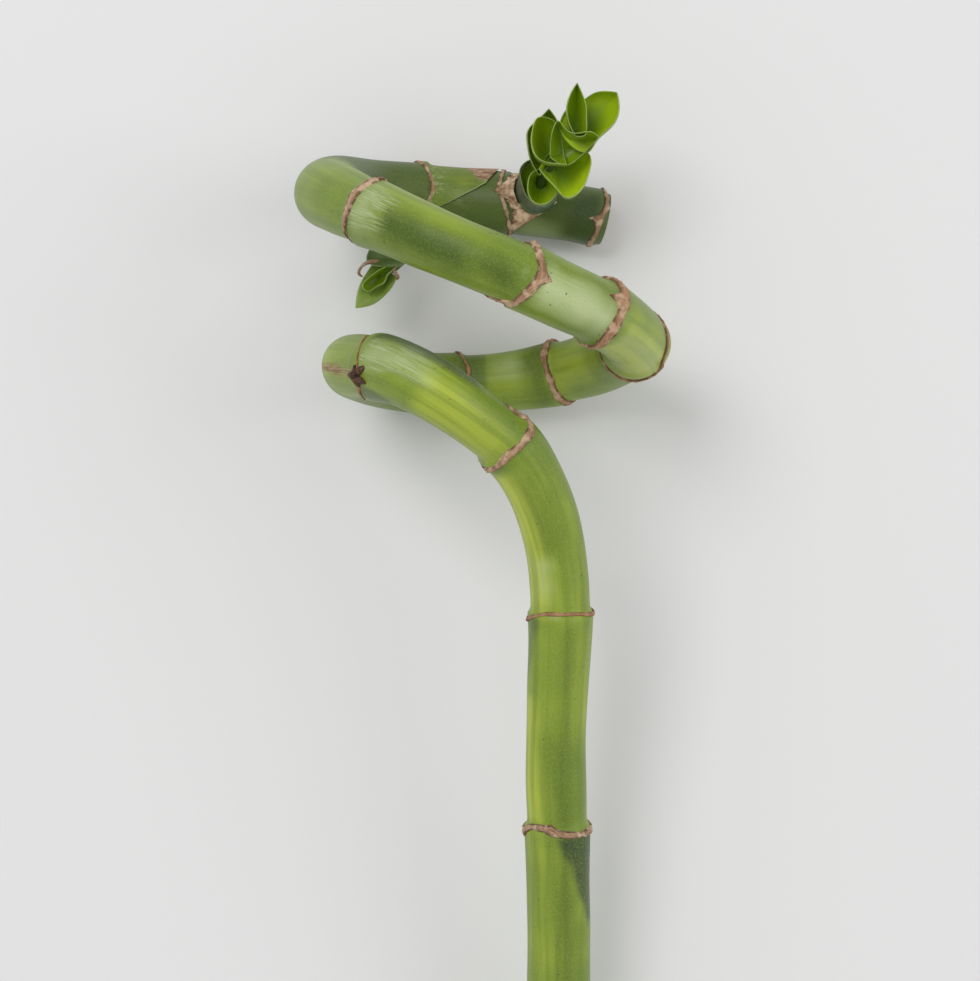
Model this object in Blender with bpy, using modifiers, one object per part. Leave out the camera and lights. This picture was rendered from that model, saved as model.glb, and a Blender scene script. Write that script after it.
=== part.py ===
"""Curly lucky bamboo: one cut cane that winds into a coil, with the dried collars that its leaf
sheaths left, a leafy shoot near the upper cut and a small budding side shoot. It lies on the back
of its coil. X runs across, Y along the cane towards its leafy end, Z up."""

import bpy
import bmesh
import numpy as np
from math import cos, radians, sin
from mathutils import Euler, Matrix, Vector

MM = 0.001
SEAT_GAP = 0.3 * MM          # clearance between neighbouring pieces

# How the cane lies: small turns that bring its back crossings and cut base onto one level.
PITCH = radians(3.2)         # about X
ROLL = radians(1.7)          # about Y

# The cane's route from cut base to cut tip, as x, y, z and radius in millimetres.
# A word marks a node, where a leaf grew and left its collar.
CANE_ROUTE = [
    (18.0, -217.0, -24.0, 8.2, ""),
    (18.0, -203.0, -22.0, 8.3, "node"),
    (17.5, -148.0, -14.0, 8.1, "node"),
    (17.0, -88.0, -5.0, 7.8, "node"),
    (16.5, -60.0, 0.0, 7.5, ""),
    (17.4, -30.0, 5.0, 7.6, "node"),
    (16.7, -18.4, 8.0, 7.5, ""),
    (14.2, -6.5, 12.0, 7.6, ""),
    (10.4, 2.6, 17.0, 7.5, ""),
    (4.8, 10.7, 22.0, 7.5, "node"),
    (-0.5, 14.9, 26.0, 7.1, ""),
    (-6.4, 19.3, 29.5, 7.2, ""),
    (-12.8, 23.6, 31.0, 7.5, ""),
    (-18.6, 26.8, 28.0, 7.6, ""),
    (-24.0, 29.0, 22.0, 7.7, ""),
    (-28.3, 30.1, 14.5, 7.8, "node"),
    (-34.0, 31.2, 0.0, 7.9, ""),
    (-32.8, 30.7, -17.0, 8.0, ""),
    (-25.2, 29.2, -31.5, 8.0, ""),
    (-14.5, 28.2, -36.5, 7.9, ""),
    (-7.5, 28.2, -37.0, 7.8, "node"),
    (10.6, 29.7, -36.0, 7.9, ""),
    (20.1, 31.4, -33.0, 8.2, "node"),
    (29.2, 33.7, -23.5, 8.2, ""),
    (35.0, 35.9, -9.0, 8.2, ""),
    (36.1, 36.9, 3.0, 8.3, "node"),
    (32.4, 39.6, 15.0, 8.0, ""),
    (26.1, 42.6, 26.0, 7.9, "node"),
    (16.5, 46.3, 34.0, 7.8, ""),
    (5.9, 50.9, 38.0, 7.6, "node"),
    (-5.4, 55.3, 39.0, 7.4, ""),
    (-17.2, 60.7, 34.0, 7.7, ""),
    (-25.1, 64.8, 27.0, 7.9, ""),
    (-30.5, 67.7, 20.2, 8.1, "node"),
    (-38.1, 72.4, 6.0, 8.5, ""),
    (-40.7, 75.1, -6.0, 8.7, ""),
    (-38.3, 77.9, -20.0, 8.4, ""),
    (-30.5, 78.9, -32.0, 7.9, ""),
    (-18.5, 78.5, -36.8, 7.8, "node"),
    (-8.0, 77.4, -37.5, 7.8, ""),
    (5.4, 75.9, -37.5, 8.0, "node"),
    (16.0, 74.6, -37.8, 7.6, ""),
    (25.2, 73.2, -38.7, 7.2, ""),
    (29.0, 72.5, -39.2, 7.1, "node"),
    (30.5, 72.2, -39.4, 7.0, ""),
]
CANE_STEP = 5.0 * MM         # spacing of the cane's sections
CANE_RESOLUTION = 5          # 14 sides
FLARE = 0.5 * MM             # how far the cane swells just below a node
FLARE_LENGTH = 8.0 * MM

COLLAR_WIDTH = 2.2 * MM      # along the cane
COLLAR_THICKNESS = 0.8 * MM
COLLAR_GAP = 0.4 * MM        # a little over the seat gap, because the cane bends within the ring
COLLAR_STEPS = 20

LEAF_ACROSS = 5
LEAF_ALONG = 8
LEAF_THICKNESS = 0.4 * MM
STALK_SECTIONS = 8
STALK_RESOLUTION = 3         # 10 sides

# The scene is emptied, and the plant's collection takes one empty that lays the whole plant down.
for startup_object in list(bpy.data.objects):
    bpy.data.objects.remove(startup_object)
PLANT = bpy.data.collections.new("curly_bamboo")
bpy.context.scene.collection.children.link(PLANT)
LIE = bpy.data.objects.new("lie", None)
PLANT.objects.link(LIE)


def make_material(name, colour, roughness):
    material = bpy.data.materials.new(name)
    material.use_nodes = True
    shader = material.node_tree.nodes["Principled BSDF"]
    shader.inputs["Base Color"].default_value = (*colour, 1.0)
    shader.inputs["Roughness"].default_value = roughness
    shader.inputs["Metallic"].default_value = 0.0
    return material


def spline(knots, values, wanted):
    """Natural cubic spline through the values at the knots, read at the wanted places."""
    gap = np.diff(knots)
    slope = np.diff(values, axis=0) / gap[:, None]
    count = len(knots)
    matrix = np.eye(count)
    right = np.zeros_like(values)
    for i in range(1, count - 1):
        matrix[i, i - 1:i + 2] = gap[i - 1], 2 * (gap[i - 1] + gap[i]), gap[i]
        right[i] = 6 * (slope[i] - slope[i - 1])
    bend = np.linalg.solve(matrix, right)
    i = np.clip(np.searchsorted(knots, wanted) - 1, 0, count - 2)
    h = gap[i][:, None]
    before = (knots[i + 1] - wanted)[:, None]
    after = (wanted - knots[i])[:, None]
    return ((bend[i] * before ** 3 + bend[i + 1] * after ** 3) / (6 * h)
            + (values[i] / h - bend[i] * h / 6) * before
            + (values[i + 1] / h - bend[i + 1] * h / 6) * after)


class Cane:
    """The cane's centre line and radius by length from the cut base."""

    def __init__(self):
        table = np.array([row[:4] for row in CANE_ROUTE]) * MM
        chords = np.linalg.norm(np.diff(table[:, :3], axis=0), axis=1)
        knots = np.concatenate([[0.0], np.cumsum(chords)])
        self.fine = spline(knots, table, np.linspace(0, knots[-1], 4000))
        steps = np.linalg.norm(np.diff(self.fine[:, :3], axis=0), axis=1)
        self.arc = np.concatenate([[0.0], np.cumsum(steps)])
        self.length = self.arc[-1]
        at_station = np.interp(knots, np.linspace(0, knots[-1], 4000), self.arc)
        self.nodes = [s for s, row in zip(at_station, CANE_ROUTE) if row[4] == "node"]

    def place(self, s):
        return Vector([np.interp(s, self.arc, self.fine[:, axis]) for axis in range(3)])

    def direction(self, s):
        reach = 0.5 * MM
        low, high = max(s - reach, 0.0), min(s + reach, self.length)
        return (self.place(high) - self.place(low)).normalized()

    def radius(self, s):
        """The plain radius, swollen just below each node."""
        swell = 0.0
        for node in self.nodes:
            below = (node - s) / FLARE_LENGTH
            if -0.25 < below < 4:
                swell = max(swell, np.exp(-max(below, -2.5 * below) ** 2))
        return np.interp(s, self.arc, self.fine[:, 3]) + FLARE * swell


def add(name, data, material):
    """A new part in the plant's collection, carried by the empty that lays it down."""
    part = bpy.data.objects.new(name, data)
    data.materials.append(material)
    PLANT.objects.link(part)
    part.parent = LIE
    return part


def turned(name, profile, steps, material):
    """A closed outline of radius and height points, from the top outside inwards, turned about Z."""
    mesh = bpy.data.meshes.new(name)
    count = len(profile)
    edges = [(i, (i + 1) % count) for i in range(count)]
    mesh.from_pydata([(radius, 0.0, height) for radius, height in profile], edges, [])
    part = add(name, mesh, material)
    screw = part.modifiers.new("turn", "SCREW")
    screw.steps = screw.render_steps = steps
    screw.use_merge_vertices = True
    screw.merge_threshold = 0.01 * MM
    return part


def aim(part, place, direction):
    """Puts a turned part at a place with its own Z along a direction."""
    part.matrix_parent_inverse = Matrix()
    part.matrix_local = Matrix.Translation(place) @ direction.to_track_quat("Z", "Y").to_matrix().to_4x4()


def make_collar(name, cane, s, material):
    """A dry ring round the cane, standing the seat gap clear of it."""
    inner = cane.radius(s) + COLLAR_GAP
    outer = inner + COLLAR_THICKNESS
    half = COLLAR_WIDTH / 2
    edge = 0.45
    profile = [
        (outer, half * edge),
        (outer, -half * edge),
        (inner, -half),
        (inner, half),
    ]
    aim(turned(name, profile, COLLAR_STEPS, material), cane.place(s), cane.direction(s))


def bent_sheet(name, bend, across, along, thickness, material):
    """A grid bent by a function of its two coordinates, -1 to 1 across and 0 to 1 along."""
    form = bmesh.new()
    bmesh.ops.create_grid(form, x_segments=across, y_segments=along, size=1.0)
    for corner in form.verts:
        corner.co = bend(corner.co.x, (corner.co.y + 1) / 2)
    mesh = bpy.data.meshes.new(name)
    form.to_mesh(mesh)
    form.free()
    part = add(name, mesh, material)
    solid = part.modifiers.new("thickness", "SOLIDIFY")
    solid.thickness = thickness
    solid.offset = 0.0
    return part


class Shoot:
    """A side shoot's bent axis, from its seat on the cane to its tip, and directions across it."""

    def __init__(self, seat, bend, tip, seat_radius, tip_radius, stalk_length):
        self.points = [Vector(point) * MM for point in (seat, bend, tip)]
        self.seat_radius = seat_radius * MM
        self.tip_radius = tip_radius * MM
        self.stalk_length = stalk_length * MM
        rough = [self.bezier(i / 40) for i in range(41)]
        self.length = sum((after - before).length for before, after in zip(rough, rough[1:]))

    def bezier(self, t):
        seat, bend, tip = self.points
        return seat * (1 - t) ** 2 + bend * 2 * t * (1 - t) + tip * t ** 2

    def direction(self, height):
        t = min(height / self.length, 1.0)
        seat, bend, tip = self.points
        return ((bend - seat) * (1 - t) + (tip - bend) * t).normalized()

    def centre(self, height):
        beyond = max(height - self.length, 0.0)
        return self.bezier(min(height / self.length, 1.0)) + self.direction(height) * beyond

    def at(self, height, turn, out):
        """The point at a height along the axis, at an angle round it and a distance from it."""
        axis = self.direction(height)
        right = (Vector((1, 0, 0)) - axis * axis.x).normalized()
        up = axis.cross(right)
        return self.centre(height) + (right * cos(turn) + up * sin(turn)) * out

    def radius(self, height):
        share = min(height / self.stalk_length, 1.0)
        return self.seat_radius + (self.tip_radius - self.seat_radius) * share


def tube(name, places, radii, resolution, material):
    """A round rod through the places, with its own radius at each and closed ends."""
    curve = bpy.data.curves.new(name, "CURVE")
    curve.dimensions = "3D"
    curve.twist_mode = "MINIMUM"
    curve.bevel_depth = 1.0
    curve.bevel_resolution = resolution
    curve.use_fill_caps = True
    line = curve.splines.new("POLY")
    line.points.add(len(places) - 1)
    for point, place, radius in zip(line.points, places, radii):
        point.co = (*place, 1.0)
        point.radius = radius
    add(name, curve, material)


def make_stem(cane, material):
    count = int(cane.length / CANE_STEP) + 1
    lengths = np.linspace(0, cane.length, count)
    places = [cane.place(s) for s in lengths]
    tube("stem", places, [cane.radius(s) for s in lengths], CANE_RESOLUTION, material)


def make_stalk(name, shoot, material):
    heights = np.linspace(0, shoot.stalk_length, STALK_SECTIONS)
    places = [shoot.centre(height) for height in heights]
    tube(name, places, [shoot.radius(height) for height in heights], STALK_RESOLUTION, material)


def make_leaf(name, shoot, height, turn, length, half_wrap, spread, material):
    """A blade that clasps the stalk at its foot and widens into part of a cup round it.

    All the blades of a shoot lie on cups of one axis, and a higher cup opens no wider than the one
    below it, so they nest without touching."""
    start = height * MM
    reach = length * MM
    foot = shoot.radius(start) + SEAT_GAP + LEAF_THICKNESS / 2
    middle, wrap, lean = radians(turn), radians(half_wrap), radians(spread)

    def bend(s, t):
        narrowing = (1 - 0.97 * t ** 3) ** 0.5
        out = foot + reach * sin(lean) * t ** 1.3
        return shoot.at(start + reach * cos(lean) * t, middle + s * wrap * narrowing, out)

    bent_sheet(name, bend, LEAF_ACROSS, LEAF_ALONG, LEAF_THICKNESS, material)


def make_sheath_remnant(cane, material):
    """The green foot of a leaf that still wraps the cane beyond a back node, torn on a slant."""
    start = cane.nodes[SHEATH_NODE] + COLLAR_WIDTH / 2 + SEAT_GAP + LEAF_THICKNESS / 2

    def bend(s, t):
        turn = radians(SHEATH_MIDDLE) + s * radians(SHEATH_HALF_WRAP)
        reach = SHEATH_SHORT + (SHEATH_LONG - SHEATH_SHORT) * (1 - s) / 2
        along = start + t * reach * MM
        toward = cane.direction(along)
        front = (Vector((0, 0, 1)) - toward * toward.z).normalized()
        aside = toward.cross(front)
        out = cane.radius(along) + SEAT_GAP + LEAF_THICKNESS
        return cane.place(along) + (front * cos(turn) + aside * sin(turn)) * out

    bent_sheet("sheath_remnant", bend, 8, 4, LEAF_THICKNESS, material)


def make_dried_bud(cane, material):
    """A shrivelled bud, a low cone seated on the front of a node's collar."""
    s = cane.nodes[BUD_NODE]
    toward = cane.direction(s)
    front = Vector(BUD_FACING)
    front = (front - toward * toward.dot(front)).normalized()
    seat = cane.radius(s) + SEAT_GAP + COLLAR_THICKNESS + SEAT_GAP
    bud = bmesh.new()
    bmesh.ops.create_cone(bud, cap_ends=True, segments=10, radius1=BUD_RADIUS,
                          radius2=BUD_RADIUS * 0.35, depth=BUD_HEIGHT)
    mesh = bpy.data.meshes.new("dried_bud")
    bud.to_mesh(mesh)
    bud.free()
    aim(add("dried_bud", mesh, material), cane.place(s) + front * (seat + BUD_HEIGHT / 2), front)


# The torn sheath beyond the first node of the upper back crossing.
SHEATH_NODE = 12
SHEATH_MIDDLE = -10.0        # degrees round the cane from straight up
SHEATH_HALF_WRAP = 75.0
SHEATH_SHORT = 6.0           # length along the cane at its two edges
SHEATH_LONG = 17.0

# The shrivelled bud on the left end of the lower turn.
BUD_NODE = 5
BUD_FACING = (-0.25, -0.1, 1.0)
BUD_RADIUS = 2.2 * MM
BUD_HEIGHT = 1.0 * MM

# The leafy shoot on the upper back crossing, and the small one that hangs below it.
TOP_SHOOT = Shoot(seat=(11.7, 76.7, -29.1), bend=(13.5, 82.0, -14.0), tip=(25.0, 95.5, -4.0),
                  seat_radius=3.2, tip_radius=1.4, stalk_length=27.0)
SIDE_SHOOT = Shoot(seat=(-14.5, 68.6, -34.5), bend=(-22.0, 61.0, -33.0), tip=(-33.5, 49.5, -28.5),
                   seat_radius=1.8, tip_radius=1.0, stalk_length=18.0)

# Each leaf: height up the stalk, angle round it, length, half wrap and spread.
TOP_LEAVES = [
    ("base_bract", 2.5, 230, 7.0, 120, 42),
    ("leaf_lower_left", 6.0, 235, 11.0, 85, 40),
    ("leaf_outer_left", 9.0, 190, 13.0, 60, 38),
    ("leaf_lower_right", 12.0, 295, 15.0, 95, 36),
    ("leaf_left_cup", 15.5, 180, 13.0, 85, 34),
    ("leaf_middle", 19.0, 300, 12.0, 80, 32),
    ("leaf_pointed", 22.0, 120, 14.0, 60, 28),
    ("leaf_top_cup", 25.0, 40, 15.0, 95, 26),
]
SIDE_LEAVES = [
    ("side_husk", 5.0, 90, 7.0, 120, 22),
    ("side_dry_bract_left", 8.0, 190, 5.5, 30, 21),
    ("side_dry_bract_right", 8.0, 350, 5.5, 30, 21),
    ("side_leaf_small", 11.0, 330, 8.0, 60, 18),
    ("side_leaf_main", 14.0, 240, 15.5, 120, 12),
]


def lay_down():
    """Turns the plant as it lies, then sets it on Z = 0 with its box centred on the origin."""
    LIE.rotation_euler = Euler((PITCH, ROLL, 0.0))
    bpy.context.view_layer.update()
    graph = bpy.context.evaluated_depsgraph_get()
    low, high = np.full(3, np.inf), np.full(3, -np.inf)
    for part in PLANT.objects:
        if part == LIE:
            continue
        shown = part.evaluated_get(graph)
        mesh = shown.to_mesh()
        points = np.empty(len(mesh.vertices) * 3, np.float32)
        mesh.vertices.foreach_get("co", points)
        world = np.array(shown.matrix_world)
        points = points.reshape(-1, 3) @ world[:3, :3].T + world[:3, 3]
        low, high = np.minimum(low, points.min(axis=0)), np.maximum(high, points.max(axis=0))
        shown.to_mesh_clear()
    LIE.location = (-(low[0] + high[0]) / 2, -(low[1] + high[1]) / 2, -low[2])


def main():
    cane_green = make_material("cane_green", (0.16, 0.26, 0.05), 0.35)
    dry_tan = make_material("dry_tan", (0.45, 0.27, 0.12), 0.8)
    dark_brown = make_material("dark_brown", (0.08, 0.04, 0.02), 0.85)
    leaf_green = make_material("leaf_green", (0.25, 0.45, 0.02), 0.4)
    cane = Cane()
    make_stem(cane, cane_green)
    for number, s in enumerate(cane.nodes, start=1):
        make_collar(f"sheath_collar_{number:02d}", cane, s, dry_tan)
    make_sheath_remnant(cane, cane_green)
    make_dried_bud(cane, dark_brown)
    make_stalk("top_stalk", TOP_SHOOT, leaf_green)
    make_stalk("side_stalk", SIDE_SHOOT, leaf_green)
    for shoot, leaves in ((TOP_SHOOT, TOP_LEAVES), (SIDE_SHOOT, SIDE_LEAVES)):
        for name, *shape in leaves:
            dry = "dry" in name
            make_leaf(name, shoot, *shape, dry_tan if dry else leaf_green)
    lay_down()


main()
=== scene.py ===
"""The looks of a curly lucky bamboo cane that lies on the back of its coil.

Places are in millimetres in the plant's own frame, X across, Y along the cane and Z up, and `laid`
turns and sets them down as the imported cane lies."""

import bpy
import numpy as np
from math import pi, radians
from mathutils import Euler, Matrix, Vector, noise


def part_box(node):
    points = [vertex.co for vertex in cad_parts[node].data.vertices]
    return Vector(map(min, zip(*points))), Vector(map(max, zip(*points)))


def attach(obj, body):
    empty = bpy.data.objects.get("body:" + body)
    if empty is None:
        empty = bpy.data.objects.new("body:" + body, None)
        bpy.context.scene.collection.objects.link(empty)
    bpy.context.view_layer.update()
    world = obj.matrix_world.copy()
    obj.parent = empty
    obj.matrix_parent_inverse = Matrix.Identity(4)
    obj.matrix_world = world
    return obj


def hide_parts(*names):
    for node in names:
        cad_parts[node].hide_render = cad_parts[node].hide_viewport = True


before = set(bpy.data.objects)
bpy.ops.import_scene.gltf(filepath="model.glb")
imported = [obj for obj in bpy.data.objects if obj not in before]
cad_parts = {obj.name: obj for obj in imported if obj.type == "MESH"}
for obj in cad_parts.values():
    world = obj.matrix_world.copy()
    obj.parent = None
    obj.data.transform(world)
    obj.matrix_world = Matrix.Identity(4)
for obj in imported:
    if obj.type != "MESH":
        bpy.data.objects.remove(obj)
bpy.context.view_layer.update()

MM = 0.001
PITCH = radians(3.2)
ROLL = radians(1.7)

# The cane's route from cut base to cut tip, as x, y, z and radius. A word marks a node.
CANE_ROUTE = [
    (18.0, -217.0, -24.0, 8.2, ""),
    (18.0, -203.0, -22.0, 8.3, "node"),
    (17.5, -148.0, -14.0, 8.1, "node"),
    (17.0, -88.0, -5.0, 7.8, "node"),
    (16.5, -60.0, 0.0, 7.5, ""),
    (17.4, -30.0, 5.0, 7.6, "node"),
    (16.7, -18.4, 8.0, 7.5, ""),
    (14.2, -6.5, 12.0, 7.6, ""),
    (10.4, 2.6, 17.0, 7.5, ""),
    (4.8, 10.7, 22.0, 7.5, "node"),
    (-0.5, 14.9, 26.0, 7.1, ""),
    (-6.4, 19.3, 29.5, 7.2, ""),
    (-12.8, 23.6, 31.0, 7.5, ""),
    (-18.6, 26.8, 28.0, 7.6, ""),
    (-24.0, 29.0, 22.0, 7.7, ""),
    (-28.3, 30.1, 14.5, 7.8, "node"),
    (-34.0, 31.2, 0.0, 7.9, ""),
    (-32.8, 30.7, -17.0, 8.0, ""),
    (-25.2, 29.2, -31.5, 8.0, ""),
    (-14.5, 28.2, -36.5, 7.9, ""),
    (-7.5, 28.2, -37.0, 7.8, "node"),
    (10.6, 29.7, -36.0, 7.9, ""),
    (20.1, 31.4, -33.0, 8.2, "node"),
    (29.2, 33.7, -23.5, 8.2, ""),
    (35.0, 35.9, -9.0, 8.2, ""),
    (36.1, 36.9, 3.0, 8.3, "node"),
    (32.4, 39.6, 15.0, 8.0, ""),
    (26.1, 42.6, 26.0, 7.9, "node"),
    (16.5, 46.3, 34.0, 7.8, ""),
    (5.9, 50.9, 38.0, 7.6, "node"),
    (-5.4, 55.3, 39.0, 7.4, ""),
    (-17.2, 60.7, 34.0, 7.7, ""),
    (-25.1, 64.8, 27.0, 7.9, ""),
    (-30.5, 67.7, 20.2, 8.1, "node"),
    (-38.1, 72.4, 6.0, 8.5, ""),
    (-40.7, 75.1, -6.0, 8.7, ""),
    (-38.3, 77.9, -20.0, 8.4, ""),
    (-30.5, 78.9, -32.0, 7.9, ""),
    (-18.5, 78.5, -36.8, 7.8, "node"),
    (-8.0, 77.4, -37.5, 7.8, ""),
    (5.4, 75.9, -37.5, 8.0, "node"),
    (16.0, 74.6, -37.8, 7.6, ""),
    (25.2, 73.2, -38.7, 7.2, ""),
    (29.0, 72.5, -39.2, 7.1, "node"),
    (30.5, 72.2, -39.4, 7.0, ""),
]

# Each node's ring as angle round the cane in degrees and length along it, in the order of the angle.
RINGS = [
    [(0, 14.1), (180, 14.4)],
    [(0, 69.7), (180, 70.2)],
    [(-85, 133.4), (-60, 135.6), (-30, 135.9), (5, 134.4), (50, 133.6), (87, 133.2), (180, 134.5)],
    [(-90, 187.0), (-60, 189.2), (-30, 190.8), (30, 190.6), (81, 189.0), (180, 189.5)],
    [(-72, 236.5), (-3, 239.5), (45, 238.4), (80, 237.4), (100, 241.0), (112, 243.5), (150, 240.0)],
    [(-81, 283.5), (-42, 279.0), (-10, 276.8), (33, 279.0), (93, 284.0), (180, 286.5)],
    [(0, 352.0), (99, 352.0), (156, 355.5), (240, 354.0)],
    [(102, 379.0), (168, 379.5), (207, 380.0), (276, 381.0)],
    [(-150, 419.0), (-117, 416.9), (-84, 416.6), (-45, 423.0), (-15, 425.5), (10, 427.0), (60, 426.0),
     (150, 421.0)],
    [(-117, 448.2), (-66, 450.6), (-30, 450.6), (6, 449.4), (120, 448.5)],
    [(-126, 477.0), (-99, 473.2), (-54, 471.5), (-21, 470.4), (12, 472.5), (120, 476.0)],
    [(-105, 518.6), (-60, 515.8), (-30, 515.4), (0, 515.2), (30, 516.2), (55, 518.5), (150, 519.5)],
    [(33, 591.6), (78, 594.5), (100, 596.2), (122, 595.4), (150, 593.5), (240, 592.0)],
    [(96, 613.5), (123, 615.5), (150, 617.0), (186, 618.0), (240, 617.0), (330, 615.0)],
    [(33, 640.5), (84, 641.4), (123, 640.6), (180, 639.4), (300, 640.4)],
]
NODE_PLACES = [np.mean([place for _, place in ring]) for ring in RINGS]

# The swelling under each node and the narrow waist over it, in mm.
FLARE = 0.6
FLARE_BELOW = 9.0
FLARE_SHAPE = 1.4            # how abruptly the swelling ends
LIP = 0.7
WAIST = 0.35
WAIST_LENGTH = 7.0


# ---------------------------------------------------------------- the cane's centre line

def spline(knots, values, wanted):
    """Natural cubic spline through the values at the knots, read at the wanted places."""
    gap = np.diff(knots)
    slope = np.diff(values, axis=0) / gap[:, None]
    count = len(knots)
    matrix = np.eye(count)
    right = np.zeros_like(values)
    for i in range(1, count - 1):
        matrix[i, i - 1:i + 2] = gap[i - 1], 2 * (gap[i - 1] + gap[i]), gap[i]
        right[i] = 6 * (slope[i] - slope[i - 1])
    bend = np.linalg.solve(matrix, right)
    i = np.clip(np.searchsorted(knots, wanted) - 1, 0, count - 2)
    h = gap[i][:, None]
    before = (knots[i + 1] - wanted)[:, None]
    after = (wanted - knots[i])[:, None]
    return ((bend[i] * before ** 3 + bend[i + 1] * after ** 3) / (6 * h)
            + (values[i] / h - bend[i] * h / 6) * before
            + (values[i + 1] / h - bend[i + 1] * h / 6) * after)


def run_length(points):
    """How far along the line each of its points lies."""
    return np.concatenate([[0.0], np.cumsum(np.linalg.norm(np.diff(points, axis=0), axis=1))])


class Cane:
    """Centre line, radius and a frame that doesn't twist, by length from the cut base in mm."""

    STEP = 0.25
    FINE = 6000              # places read off the spline before they are spaced evenly

    def __init__(self):
        table = np.array([row[:4] for row in CANE_ROUTE])
        knots = run_length(table[:, :3])
        fine_knots = np.linspace(0, knots[-1], self.FINE)
        fine = spline(knots, table, fine_knots)
        arc = run_length(fine[:, :3])
        self.length = arc[-1]
        self.at = np.arange(0, self.length + self.STEP, self.STEP)
        self.centre = np.stack([np.interp(self.at, arc, fine[:, k]) for k in range(3)], axis=1)
        self.plain_radius = np.interp(self.at, arc, fine[:, 3])
        stations = np.interp(knots, fine_knots, arc)
        self.nodes = [s for s, row in zip(stations, CANE_ROUTE) if row[4] == "node"]
        self.tangent = np.gradient(self.centre, axis=0)
        self.tangent /= np.linalg.norm(self.tangent, axis=1)[:, None]
        self.up = np.zeros_like(self.centre)
        up = np.array([0.0, 0.0, 1.0])
        for i, tangent in enumerate(self.tangent):
            up = up - tangent * (up @ tangent)
            up /= np.linalg.norm(up)
            self.up[i] = up
        self.side = np.cross(self.tangent, self.up)

    def read(self, table, s):
        """A table of the centre line's points or directions, at lengths along the cane."""
        return np.stack([np.interp(s, self.at, table[:, k]) for k in range(3)], axis=-1)

    def radius(self, s):
        """Radius with the swelling under each node and the narrow waist over it."""
        s = np.asarray(s, float)
        swell = np.zeros_like(s)
        for node in NODE_PLACES:
            below = np.abs(node - s) / FLARE_BELOW
            above = np.abs(s - node)
            under = FLARE * np.exp(-below ** FLARE_SHAPE)
            lip = np.exp(-above / LIP)
            over = FLARE * lip - WAIST * (1 - lip) * np.exp(-above / WAIST_LENGTH)
            swell = swell + np.where(s <= node, under, over)
        return np.interp(s, self.at, self.plain_radius) + swell

    def surface(self, s, turn, out=0.0):
        """The point a distance out of the skin, at a length and an angle round the cane."""
        s, turn = np.broadcast_arrays(np.asarray(s, float), np.asarray(turn, float))
        centre, up, side = (self.read(table, s) for table in (self.centre, self.up, self.side))
        reach = (self.radius(s) + out)[..., None]
        return centre + (up * np.cos(turn)[..., None] + side * np.sin(turn)[..., None]) * reach


cane = Cane()


def lie_matrix():
    """Turns the plant as it lies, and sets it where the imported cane's first collar is."""
    turn = Euler((PITCH, ROLL, 0.0)).to_matrix().to_4x4()
    low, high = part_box("sheath_collar_01")
    collar = Vector([(a + b) / 2 for a, b in zip(low, high)])
    node = Vector(cane.read(cane.centre, cane.nodes[0])) * MM
    return Matrix.Translation(collar - turn @ node) @ turn


LIE = lie_matrix()
LIE_TURN = np.array(LIE)[:3, :3]
LIE_SHIFT = np.array(LIE)[:3, 3]


def laid(points):
    """Plant-frame millimetres to the world's metres."""
    return np.asarray(points) * MM @ LIE_TURN.T + LIE_SHIFT


# ---------------------------------------------------------------- shader maths

class Socket:
    """A shader output that takes Python's operators, each adding its Math node."""

    def __init__(self, tree, output):
        self.tree = tree
        self.output = output

    def math(self, operation, *values):
        made = self.tree.nodes.new("ShaderNodeMath")
        made.operation = operation
        for slot, value in zip(made.inputs, values):
            put(self.tree, slot, value)
        return Socket(self.tree, made.outputs[0])

    def __add__(self, other):
        return self.math("ADD", self, other)

    def __radd__(self, other):
        return self.math("ADD", other, self)

    def __sub__(self, other):
        return self.math("SUBTRACT", self, other)

    def __rsub__(self, other):
        return self.math("SUBTRACT", other, self)

    def __mul__(self, other):
        return self.math("MULTIPLY", self, other)

    def __rmul__(self, other):
        return self.math("MULTIPLY", other, self)

    def ramp(self, low, high):
        """0 below low, 1 above high, smooth between. Low may be the greater."""
        made = self.tree.nodes.new("ShaderNodeMapRange")
        made.interpolation_type = "SMOOTHSTEP"
        for name, value in (("Value", self), ("From Min", low), ("From Max", high)):
            put(self.tree, made.inputs[name], value)
        return Socket(self.tree, made.outputs["Result"])


def put(tree, slot, value):
    """Link a socket to an input, or set its value."""
    if isinstance(value, Socket):
        tree.links.new(value.output, slot)
    elif slot.type == "RGBA":
        slot.default_value = (*value, 1.0)
    else:
        slot.default_value = value


def add_node(tree, kind, settings=None, output=0, **inputs):
    """Any other node: its settings first, then values or links by input name."""
    made = tree.nodes.new(kind)
    for name, value in (settings or {}).items():
        setattr(made, name, value)
    for name, value in inputs.items():
        put(tree, made.inputs[name.replace("_", " ")], value)
    return Socket(tree, made.outputs[output])


# The places of the Mix node's colour sockets and of the Attribute node's outputs.
MIX_FACTOR, MIX_LOW, MIX_HIGH, MIX_RESULT = 0, 6, 7, 2
ATTRIBUTE_VECTOR, ATTRIBUTE_NUMBER = 1, 2


def mix(amount, low, high):
    """A colour between two, by a mask."""
    made = amount.tree.nodes.new("ShaderNodeMix")
    made.data_type = "RGBA"
    for place, value in ((MIX_FACTOR, amount), (MIX_LOW, low), (MIX_HIGH, high)):
        put(amount.tree, made.inputs[place], value)
    return Socket(amount.tree, made.outputs[MIX_RESULT])


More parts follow.
